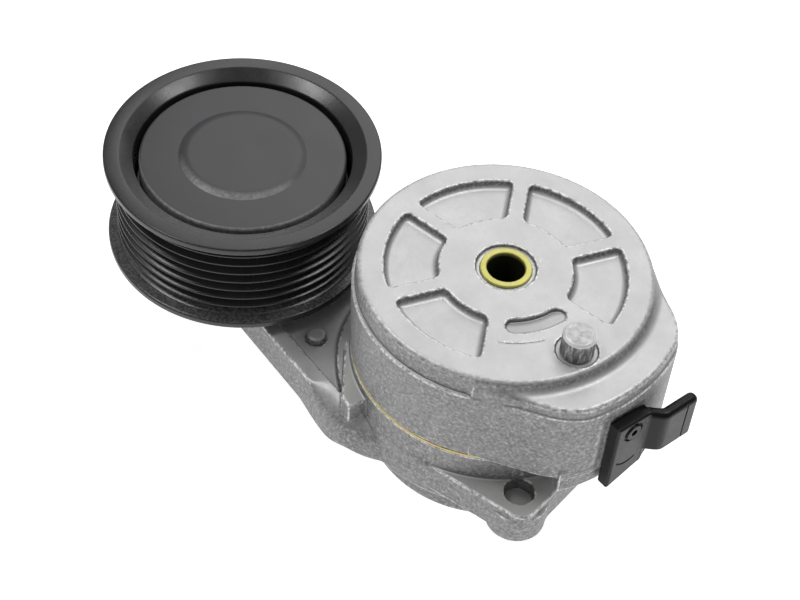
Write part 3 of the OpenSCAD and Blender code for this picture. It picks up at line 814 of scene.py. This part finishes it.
WEB_R = 42.5
END_R = 15
BOSS_R = 13
KNUCKLE = np.array([-21.5, -17.6])
KNUCKLE_R = 25
SIDE = -112.5
EAR = np.array([32.6, -39.7])
EAR_R = 4.6
SOCKET = np.array([29.9, -36.1])
PLUG = np.array([-49, -20.5])
SPACER_TOP_Z = node_box("bearing_spacer")[0][2]
CUP_R = 42.4
CUP_TOP_Z = -33.9
CUP_FLOOR_Z = -45
SKIRT_R = 36.3
SKIRT_TOP_Z = -16
HUB_R = 36
FOOT_R = 8.69
FOOT_LOW_Z = -55.2
STOP_TOP_Z = -36.7
STOP_CORNERS = [(40, -119.5), (40, -150.5), (43.9, -150.5), (48.4, -125), (48.2, -119.5)]
STOP_PLAN = [polar(radius, angle) for radius, angle in STOP_CORNERS]
CHAMBER_R = 32.5
CHAMBER_IN_R = 19.5
CHAMBER_LOW_Z = -64
CHAMBER_TOP_Z = -35
PIVOT_BORE_R = 15.5
WASHER_BORE_R = 24.5
WASHER_BORE_Z = -66.5
THRUST_BORE_R = 36.35
ARM_ROOT_Z = -44
STOP_ROOT_Z = -46.5
REST_RADII = (40.6, 48)
REST_SPAN = (-11.6, 8)
SPRING_STOP_RADII = (23, 31)
SPRING_STOP_SPAN = (189.4, 203.4)
SPRING_STOP_TOP_Z = -57
SPRING_STOP_LOW_Z = -64.5
RIM_POCKETS = 9
RIM_POCKET_GAP = 3
RIM_POCKET_RADII = (36.6, 39.4)
EAR_THICK = 10.5
RECESS_DEPTH = 1.5
RECESS_DRAFT = 0.3
UNDER_DEPTH = 8.5
UNDER_DRAFT = 0.06
SOCKET_HALF = 4.3
SOCKET_DEPTH = 4.5
PLUG_DEPTH = 5
LEAN = math.degrees(math.acos((WEB_R - END_R) / -PULLEY_XY[0]))


def beam_points(inset):
    """The beam's outline from above: straight from the pulley's end to the knuckle and to the web."""
    end = np.array(PULLEY_XY)
    return [
        end + polar(END_R - inset, SIDE),
        KNUCKLE + polar(KNUCKLE_R - inset, SIDE),
        np.zeros(2),
        polar(WEB_R - inset, 180 - LEAN),
        end + polar(END_R - inset, 180 - LEAN),
    ]


def ear_points():
    """The flat sides of the ear, which run off the round web."""
    heading = math.degrees(math.atan2(EAR[1], EAR[0]))
    spread = math.degrees(math.acos((WEB_R - EAR_R) / np.linalg.norm(EAR)))
    return [
        polar(WEB_R, heading + spread),
        polar(WEB_R, heading - spread),
        EAR + polar(EAR_R, heading - spread),
        EAR + polar(EAR_R, heading + spread),
    ]


def sector(x, y, r, radii, span, soft):
    """A ring sector seen from above, for spans under half a turn."""
    sides = np.maximum(wall(x, y, span[0] - 90, 0), wall(x, y, span[1] + 90, 0))
    return round_and(round_and(r - radii[1], radii[0] - r, soft), sides, soft)


def beam_hollow(x, y, r, hub_wall, boss_wall):
    """A hollow in the beam, seen from above, that leaves walls round the web and the boss."""
    shape = round_and(outline(x, y, beam_points(5)), WEB_R + hub_wall - r, 1.2)
    return round_and(shape, -post(x, y, PULLEY_XY, BOSS_R + boss_wall), 1.2)


def arm_field(x, y, z):
    r = np.hypot(x, y)
    beam = np.minimum(outline(x, y, beam_points(4)) - 4, post(x, y, PULLEY_XY, END_R))
    beam = round_and(beam, z - ARM_TOP_Z, 0.6 + 5.4 * ease(x + 42, 9))
    knuckle = round_and(post(x, y, KNUCKLE, KNUCKLE_R), z - ARM_TOP_Z, 9)
    web = round_and(r - WEB_R, z - ARM_TOP_Z, 0.9)
    body = round_or(round_or(beam, knuckle, 5), web, 0.5)
    body = round_and(body, ARM_BOTTOM_Z - z, 1.2)
    ear = np.minimum(outline(x, y, ear_points()), post(x, y, EAR, EAR_R))
    ear = round_and(np.minimum(ear, r - WEB_R), z - ARM_TOP_Z, 0.6)
    ear = round_and(ear, ARM_TOP_Z - EAR_THICK - z, 0.8)
    arm = round_or(body, ear, 0.6)
    foot = round_and(round_and(post(x, y, SOCKET, FOOT_R), z - CUP_FLOOR_Z, 0.5), FOOT_LOW_Z - z, 0.9)
    arm = round_or(arm, foot, 0.6)

    cup = np.maximum(round_and(r - CUP_R, z - CUP_TOP_Z, 0.5), CUP_FLOOR_Z - z)
    arm = round_or(arm, cup, 0.7)
    skirt = np.maximum(round_and(r - SKIRT_R, z - SKIRT_TOP_Z, 0.5), CUP_FLOOR_Z - z)
    arm = np.minimum(arm, skirt)
    hub = np.maximum(round_and(r - HUB_R, HUB_BOTTOM_Z - z, 2), z - CUP_FLOOR_Z)
    arm = np.minimum(arm, hub)
    stop = np.maximum(round_and(outline(x, y, STOP_PLAN), z - STOP_TOP_Z, 0.6), ARM_ROOT_Z - z)
    arm = round_or(arm, stop, 0.7)
    rest = round_and(sector(x, y, r, REST_RADII, REST_SPAN, 0.5), z - STOP_TOP_Z, 0.5)
    arm = round_or(arm, np.maximum(rest, STOP_ROOT_Z - z), 0.5)
    boss = np.maximum(round_and(post(x, y, PULLEY_XY, BOSS_R), z - SPACER_TOP_Z, 0.4), ARM_ROOT_Z - z)
    arm = round_or(arm, boss, 2.2)

    chamber = round_and(round_and(r - CHAMBER_R, CHAMBER_LOW_Z - z, 1.5), CHAMBER_IN_R - r, 0.8)
    chamber = np.minimum(chamber, np.maximum(r - CHAMBER_R, CHAMBER_TOP_Z - z))
    arm = np.maximum(arm, -chamber)
    spring_stop = sector(x, y, r, SPRING_STOP_RADII, SPRING_STOP_SPAN, 0.5)
    spring_stop = round_and(spring_stop, z - SPRING_STOP_TOP_Z, 0.5)
    arm = np.minimum(arm, np.maximum(spring_stop, SPRING_STOP_LOW_Z - z))
    arm = round_cut(arm, r - PIVOT_BORE_R, 0.4)
    arm = round_cut(arm, np.maximum(r - WASHER_BORE_R, z - WASHER_BORE_Z), 0.4)
    for k in range(RIM_POCKETS):
        turn = 360 / RIM_POCKETS
        span = (turn * k + RIM_POCKET_GAP, turn * (k + 1) - RIM_POCKET_GAP)
        pocket = sector(x, y, r, RIM_POCKET_RADII, span, 0.8)
        arm = round_cut(arm, np.maximum(pocket, z - ARM_ROOT_Z), 0.4)

    recess = beam_hollow(x, y, r, 3.5, 6) + RECESS_DRAFT * np.maximum(ARM_TOP_Z - z, 0)
    arm = round_cut(arm, round_and(recess, ARM_TOP_Z - RECESS_DEPTH - z, 0.8), 0.4)
    under = beam_hollow(x, y, r, 2.5, 3) + UNDER_DRAFT * np.maximum(z - ARM_BOTTOM_Z, 0)
    arm = round_cut(arm, round_and(under, z - ARM_BOTTOM_Z - UNDER_DEPTH, 1.2), 0.5)
    flats = [np.abs(wall(x - SOCKET[0], y - SOCKET[1], a, 0)) - SOCKET_HALF for a in (30, 90, 150)]
    socket = round_and(round_and(flats[0], flats[1], 1.5), flats[2], 1.5)
    arm = round_cut(arm, np.maximum(socket, ARM_TOP_Z - SOCKET_DEPTH - z), 0.45)
    arm = round_cut(arm, np.maximum(post(x, y, PLUG, PLUG_R), ARM_TOP_Z - PLUG_DEPTH - z), 0.3)
    return round_cut(arm, post(x, y, PULLEY_XY, BOLT_BORE_R), 0.4)


arm = grown(
    "arm_casting",
    arm_field,
    [
        steps((-107, 24, 0.55), (24, 39, 0.36), (39, 52, 0.55)),
        steps((-46.5, -30, 0.38), (-30, 44.5, 0.55)),
        steps(
            (-71.5, -57, 0.9), (-57, -51, 0.5), (-51, -46, 0.8),
            (-46, -33, 0.45), (-33, -28.5, 0.6), (-28.5, -15, 1.4),
        ),
    ],
    ARM_CAST,
)
stands_for(arm, "arm", "cast_arm", "tensioner_arm")

# ---- Side clip, in its own outward, sideways and upright axes ----


PLATE_MIDDLE = 54.05
PLATE_HALF = 2.05
PLATE_PLAN = [(-5.6, -12.3), (-5.6, -38.2), (6.8, -33.7), (6.8, -12.9)]
TAB_HALF = 1.85
TAB_START = 5
TAB_RUN = 6.2
TAB_STEP = 3.7
TAB_END = 21.7
TAB_TOP_Z = -13
TAB_LOW_Z = -28.6
RING_R = 3.0
RING_FLOOR = 55.55
FOLD_SIDE = 17.2
BOW_R = 5.4
BOW_Z = -24.5
BOW_FLOOR = 55.8
BOW_WALLS = (130, 30)


def clip_field(n, t, z):
    """A flat plate and a tab that steps outwards, with a pin hole, a ring and two fine lines."""
    plate = round_and(outline(t, z, PLATE_PLAN), np.abs(n - PLATE_MIDDLE) - PLATE_HALF, 0.8)
    share = np.clip((t - TAB_START) / TAB_RUN, 0, 1)
    middle = PLATE_MIDDLE + TAB_STEP * share * share * (3 - 2 * share)
    slant = np.sqrt(1 + (TAB_STEP / TAB_RUN * 6 * share * (1 - share)) ** 2)
    tab = round_and(np.abs(n - middle) / slant - TAB_HALF, z - TAB_TOP_Z, 1.7)
    tab = round_and(tab, TAB_LOW_Z - z, 0.7)
    tab = np.maximum(round_and(tab, t - TAB_END, 1.7), 4.5 - t)
    clip = round_or(plate, tab, 0.5)
    heel = outline(t, z, [(5.5, -34.2), (9, -28), (5.5, -27)])
    clip = round_or(clip, round_and(heel, np.abs(n - 54.9) - 1.2, 0.4), 0.3)
    reach = np.hypot(t - PIN_SIDE, z - PIN_Z)
    clip = round_cut(clip, reach - PIN_R, 0.2)
    clip = round_cut(clip, np.maximum(np.abs(reach - RING_R) - 0.32, RING_FLOOR - n), 0.1)
    clip = round_cut(clip, np.maximum(np.abs(t - FOLD_SIDE) - 0.25, middle + 1.5 - n), 0.1)
    bow_t, bow_z = t - PIN_SIDE, z - BOW_Z
    bow = np.abs(np.hypot(bow_t, bow_z) - BOW_R) - 0.28
    for angle in BOW_WALLS:
        bow = np.maximum(bow, wall(bow_t, bow_z, angle, 0))
    return round_cut(clip, np.maximum(bow, BOW_FLOOR - n), 0.1)


clip = grown(
    "clip_body",
    clip_field,
    [steps((51.4, 60.4, 0.22)), steps((-6.4, 22.6, 0.24)), steps((-38.9, -11.6, 0.24))],
    CLIP_BLACK,
    120_000,
)
clip.matrix_world = Matrix.Rotation(math.radians(CLIP_ANGLE), 4, "Z")
settle_transform(clip)
stands_for(clip, "case", "black_plastic", "side_clip")

# ---- Turned pieces of the pivot ----

SLEEVE_BORE_R = 5.5
sleeve_profile = rounded(
    [
        (SLEEVE_BORE_R, TUBE_END_Z, 0.3),
        (SLEEVE_R, TUBE_END_Z, 0.3),
        (SLEEVE_R, 0, 0.4),
        (SLEEVE_BORE_R, 0, 0.45),
    ]
)
sleeve = lathe("sleeve_turned", sleeve_profile, SLEEVE_ZINC, segments=96)
stands_for(sleeve, "case", "yellow_zinc", "pivot_sleeve")

SHANK_R = DOWEL_R - 0.75
CHAMFER_R = DOWEL_R - 0.75
dowel_profile = rounded(
    [
        (0, DOWEL_LOW[2], 0),
        (SHANK_R, DOWEL_LOW[2], 0.3),
        (SHANK_R, 0, 0),
        (DOWEL_R, 0, 0),
        (DOWEL_R, DOWEL_HIGH[2] - 0.7, 0.35),
        (CHAMFER_R, DOWEL_HIGH[2], 0.35),
        (0, DOWEL_HIGH[2], 0),
    ]
)
dowel = lathe("dowel_turned", dowel_profile, DOWEL_STEEL, DOWEL_XY, 96)
stands_for(dowel, "case", "dowel_steel", "locating_dowel")


def plain_ring(node, material, soft, body, slot, bore, centre=(0, 0), span=None, segments=128):
    """A flat ring with softened edges, sized by its CAD node; bore is its inner radius."""
    low, high = node_box(node)
    outer = max(high[1] - centre[1], centre[1] - low[1])
    profile = rounded(
        [(bore, low[2], soft), (outer, low[2], soft), (outer, high[2], soft), (bore, high[2], soft)]
    )
    piece = lathe(node + "_turned", profile, material, centre, segments, span)
    return stands_for(piece, body, slot, node)


plain_ring("thrust_plate", YELLOW_ZINC, 0.2, "arm", "yellow_zinc", THRUST_BORE_R, segments=160)
plain_ring("retaining_plate", PLAIN_STEEL, 0.35, "case", "plain_steel", TUBE_R)
plain_ring("tube_circlip", DARK_STEEL, 0.25, "case", "dark_steel", CIRCLIP_BORE_R, span=(12, 348))
plain_ring("thrust_washer", SEAT_PLASTIC, 0.2, "arm", "seat_plastic", TUBE_R + 0.3)
plain_ring("bolt_washer", PLAIN_STEEL, 0.25, "arm", "plain_steel", BOLT_BORE_R, PULLEY_XY)

plug_low, plug_high = node_box("web_plug")
plug_profile = rounded(
    [
        (0, plug_low[2], 0),
        (PLUG_R, plug_low[2], 0.2),
        (PLUG_R, plug_high[2] - 1.1, 0.2),
        (PLUG_R - 0.4, plug_high[2] - 0.4, 0.3),
        (PLUG_R - 1.2, plug_high[2], 0.4),
        (0, plug_high[2] - 0.15, 0),
    ]
)
plug = lathe("plug_turned", plug_profile, ARM_CAST, PLUG, 64)
stands_for(plug, "arm", "cast_arm", "web_plug")

# The pin's profile runs outwards from the case, and is then laid on its side.
PIN_INNER_END = 46.1
PIN_SEAT = 56.0
PIN_FACE = 56.5
PIN_DIMPLE = 54.1
pin_profile = rounded(
    [
        (0, PIN_INNER_END, 0),
        (PIN_R, PIN_INNER_END, 0.2),
        (PIN_R, PIN_SEAT, 0),
        (PIN_R + 1.0, PIN_SEAT, 0),
        (PIN_R + 0.9, PIN_FACE, 0.25),
        (1.0, PIN_FACE, 0.2),
        (1.0, PIN_DIMPLE, 0),
        (0, PIN_DIMPLE, 0),
    ]
)
pin = lathe("clip_pin_turned", pin_profile, CLIP_BLACK, segments=64)
pin.matrix_world = (
    Matrix.Rotation(math.radians(CLIP_ANGLE), 4, "Z")
    @ Matrix.Translation((0, PIN_SIDE * MM, PIN_Z * MM))
    @ Matrix.Rotation(math.radians(90), 4, "Y")
)
settle_transform(pin)
stands_for(pin, "case", "black_plastic", "clip_pin")

# ---- Pulley and its cover ----

MID_Z = (PULLEY_LOW[2] + PULLEY_HIGH[2]) / 2
TOP_Z, BOTTOM_Z = PULLEY_HIGH[2], PULLEY_LOW[2]
FLANGE_R = (PULLEY_HIGH[0] - PULLEY_LOW[0]) / 2
CREST_R = 38.5
PITCH = 3.56
GROOVES = 8
GROOVE_DEPTH = 3
GROOVE_LEAN = math.radians(20)
CREST_HALF = 0.25
BEARING_TOP_Z = MID_Z + 7
BEARING_BOTTOM_Z = MID_Z - 7
BEARING_R = 23.5
SEAT_LIP_R = 21.5
BEARING_HUB_R = 29.8
TRACK_WALL_R = 32.7
CIRCLIP_GROOVE_R = 24.6
FLANGE_LIP = 2.3


def groove(k):
    """One belt groove, counted from the top, as corners of the profile from its upper edge down."""
    z = MID_Z + PITCH * (GROOVES / 2 - 0.5 - k)
    root = PITCH / 2 - CREST_HALF - GROOVE_DEPTH * math.tan(GROOVE_LEAN)
    return [
        (CREST_R, z + PITCH / 2 - CREST_HALF, 0.3),
        (CREST_R - GROOVE_DEPTH, z + root, 0.3),
        (CREST_R - GROOVE_DEPTH, z - root, 0.3),
        (CREST_R, z - PITCH / 2 + CREST_HALF, 0.3),
    ]


belt_half = PITCH * GROOVES / 2
pulley_profile = rounded(
    [
        (SEAT_LIP_R, BEARING_BOTTOM_Z - 1.8, 0.4),
        (BEARING_HUB_R, BEARING_BOTTOM_Z - 1.8, 0.6),
        (BEARING_HUB_R, MID_Z - 3.5, 0.8),
        (TRACK_WALL_R, MID_Z - 3.5, 0.8),
        (TRACK_WALL_R, BOTTOM_Z + 1, 0.4),
        (TRACK_WALL_R + 1, BOTTOM_Z, 0.4),
        (FLANGE_R, BOTTOM_Z, 0.6),
        (FLANGE_R, BOTTOM_Z + FLANGE_LIP, 0.7),
        (CREST_R, MID_Z - belt_half, 0.5),
        *[corner for k in reversed(range(GROOVES)) for corner in reversed(groove(k))],
        (CREST_R, MID_Z + belt_half, 0.5),
        (FLANGE_R, TOP_Z - FLANGE_LIP, 0.7),
        (FLANGE_R, TOP_Z, 0.6),
        (36.9, TOP_Z, 1.6),
        (TRACK_WALL_R, TOP_Z - FLANGE_LIP, 0.7),
        (TRACK_WALL_R, MID_Z + 2.5, 0.8),
        (BEARING_HUB_R, MID_Z + 2.5, 0.8),
        (BEARING_HUB_R, BEARING_TOP_Z + 2.2, 0.3),
        (BEARING_R, BEARING_TOP_Z + 2.2, 0.4),
        (BEARING_R, BEARING_TOP_Z + 1.3, 0),
        (CIRCLIP_GROOVE_R, BEARING_TOP_Z + 1.3, 0),
        (CIRCLIP_GROOVE_R, BEARING_TOP_Z, 0),
        (BEARING_R, BEARING_TOP_Z, 0),
        (BEARING_R, BEARING_BOTTOM_Z, 0),
        (SEAT_LIP_R, BEARING_BOTTOM_Z, 0.3),
    ]
)
pulley = lathe("pulley_moulded", pulley_profile, PULLEY_BLACK, PULLEY_XY, 224)
stands_for(pulley, "pulley", "pulley_plastic", "pulley")

COVER_R = 31
COVER_RAISED = 0.9
COVER_THICK = 1
cover_z = COVER_HIGH[2] - COVER_RAISED
cover_profile = rounded(
    [
        (0, COVER_HIGH[2] - COVER_THICK, 0),
        (17.2, COVER_HIGH[2] - COVER_THICK, 0.3),
        (18, cover_z - COVER_THICK, 0.3),
        (BEARING_HUB_R, cover_z - COVER_THICK, 0.5),
        (BEARING_HUB_R, COVER_LOW[2], 0.3),
        (COVER_R, COVER_LOW[2], 0.3),
        (COVER_R, cover_z, 0.9),
        (19.2, cover_z, 1.0),
        (17.0, COVER_HIGH[2], 6.0),
        (0, COVER_HIGH[2], 0),
    ],
    turns=7,
)
cover = lathe("cover_moulded", cover_profile, COVER_BLACK, PULLEY_XY, 192)
stands_for(cover, "pulley", "cover_plastic", "dust_cover")

# ---- Bearing, bolt, spring and other hidden pieces ----

BALL_RING_R = 16
TRACK_R = 4.45


def race(node, body, r_in, r_out, track_side):
    """A bearing ring with its ball track in the face at radius track_side."""
    outward = 1 if track_side > BALL_RING_R else -1
    half_track = math.sqrt(TRACK_R**2 - (BALL_RING_R - track_side) ** 2)
    track = [
        (BALL_RING_R + outward * math.sqrt(TRACK_R**2 - z * z), MID_Z - outward * z, 0)
        for z in np.linspace(-half_track, half_track, 13)
    ]
    low = [(r_in, BEARING_BOTTOM_Z, 0.5), (r_out, BEARING_BOTTOM_Z, 0.5)]
    high = [(r_out, BEARING_TOP_Z, 0.5), (r_in, BEARING_TOP_Z, 0.5)]
    profile = [*low, *high, *track] if outward > 0 else [*low, *track, *high]
    piece = lathe(node + "_turned", rounded(profile), BEARING_STEEL, PULLEY_XY, 128)
    return stands_for(piece, body, "bearing_steel", node)


race("bearing_inner_race", "arm", 8.5, 13, 13)
race("bearing_outer_race", "pulley", 19, BEARING_R, 19)

WIRE_R = 3.4
COIL_R = 27
COIL_TURNS = 5.6
COIL_START = 60
COIL_RINGS = 300
WIRE_SIDES = 20
WIRE_CREASE = math.radians(50)


def coil_mesh(name):
    """The spring's wire as rings along the coil, a little narrower at both ends."""
    low, high = node_box("torsion_spring")
    share = np.linspace(0, 1, COIL_RINGS)[:, None]
    angle = np.radians(COIL_START - 360 * COIL_TURNS * share)
    middle_z = (high[2] - WIRE_R) * (1 - share) + (low[2] + WIRE_R) * share
    wire_turn = np.linspace(0, 2 * math.pi, WIRE_SIDES, endpoint=False)[None, :]
    from_end = np.minimum(np.arange(COIL_RINGS), np.arange(COIL_RINGS)[::-1])[:, None]
    wire_r = (WIRE_R - 0.03) * np.where(from_end == 0, 0.86, np.where(from_end == 1, 0.97, 1.0))
    reach = COIL_R + wire_r * np.cos(wire_turn)
    points = np.stack(
        [
            (reach * np.cos(angle)).ravel(),
            (reach * np.sin(angle)).ravel(),
            (middle_z + wire_r * np.sin(wire_turn)).ravel(),
        ],
        1,
    )
    i, j = np.meshgrid(np.arange(COIL_RINGS - 1), np.arange(WIRE_SIDES), indexing="ij")
    j2 = (j + 1) % WIRE_SIDES
    here, beyond = i * WIRE_SIDES, (i + 1) * WIRE_SIDES
    faces = np.stack([here + j, here + j2, beyond + j2, beyond + j], -1).reshape(-1, 4)
    return mesh_of(name, points * MM, faces)


spring = link("spring_coil", coil_mesh("spring_coil"), SPRING_STEEL)
tidy(spring, caps=True)
spring.data.set_sharp_from_angle(angle=WIRE_CREASE)
stands_for(spring, "case", "spring_steel", "torsion_spring")

FINISHES = {
    "spring_seat": SEAT_PLASTIC,
    "pivot_bushing": BUSHING_PLASTIC,
    "damper_band": LINING,
    "pulley_bolt": DARK_STEEL,
    "bearing_spacer": PLAIN_STEEL,
    "bearing_seals": SEAL_RUBBER,
    "bearing_balls": BEARING_STEEL,
    "ball_cage": CAGE_BRASS,
    "bearing_circlip": DARK_STEEL,
}
for node, material in FINISHES.items():
    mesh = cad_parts[node].data
    mesh.materials.clear()
    mesh.materials.append(material)

# ---- Camera, floor and light ----

VIEW_AZIMUTH = math.radians(27.83)
VIEW_DROP = math.radians(48.27)
VIEW_ROLL = math.radians(5.34)
CAMERA_AT = (0.1370, -0.3213, 0.3722)
FLOOR_HALF = 6.0
FLOOR_Z = float(TUBE_END_Z) * MM

camera = bpy.data.objects.new("camera", bpy.data.cameras.new("camera"))
bpy.context.scene.collection.objects.link(camera)
camera.data.sensor_width = 36
camera.data.lens = 81.66
camera.data.clip_start, camera.data.clip_end = 0.01, 20
camera.matrix_world = (
    Matrix.Translation(CAMERA_AT)
    @ Matrix.Rotation(VIEW_AZIMUTH, 4, "Z")
    @ Matrix.Rotation(math.pi / 2 - VIEW_DROP, 4, "X")
    @ Matrix.Rotation(VIEW_ROLL, 4, "Z")
)
bpy.context.scene.camera = camera

floor_mesh = bpy.data.meshes.new("floor")
floor_corners = [(i * FLOOR_HALF, j * FLOOR_HALF, FLOOR_Z) for i, j in ((-1, -1), (1, -1), (1, 1), (-1, 1))]
floor_mesh.from_pydata(floor_corners, [], [(0, 1, 2, 3)])
floor = bpy.data.objects.new("floor", floor_mesh)
bpy.context.scene.collection.objects.link(floor)
floor_shader = Shader("floor_pale")
floor_shader.set(Base_Color=(0.94, 0.94, 0.94, 1), Roughness=0.9)
floor_shader.set(Emission_Color=(1, 1, 1, 1), Emission_Strength=0.75)
floor_mesh.materials.append(floor_shader.material)


def area_light(name, place, size, power):
    """A soft box that points at the frame's origin."""
    data = bpy.data.lights.new(name, "AREA")
    data.shape = "RECTANGLE"
    data.size, data.size_y = size
    data.energy = power
    lamp = bpy.data.objects.new(name, data)
    bpy.context.scene.collection.objects.link(lamp)
    lamp.location = place
    lamp.rotation_mode = "QUATERNION"
    lamp.rotation_quaternion = (-Vector(place)).to_track_quat("-Z", "Y")


area_light("left_box", (-0.57, -0.23, 1.04), (0.32, 0.32), 4.0)
area_light("right_box", (0.32, 0.36, 1.04), (0.28, 0.30), 3.5)
area_light("back_box", (-0.36, 0.84, 0.9), (0.9, 0.9), 4.8)
world = bpy.data.worlds.new("studio")
bpy.context.scene.world = world
world.use_nodes = True
background = world.node_tree.nodes["Background"]
background.inputs["Color"].default_value = (1, 1, 1, 1)
background.inputs["Strength"].default_value = 0.28
bpy.context.scene.view_settings.view_transform = "Standard"
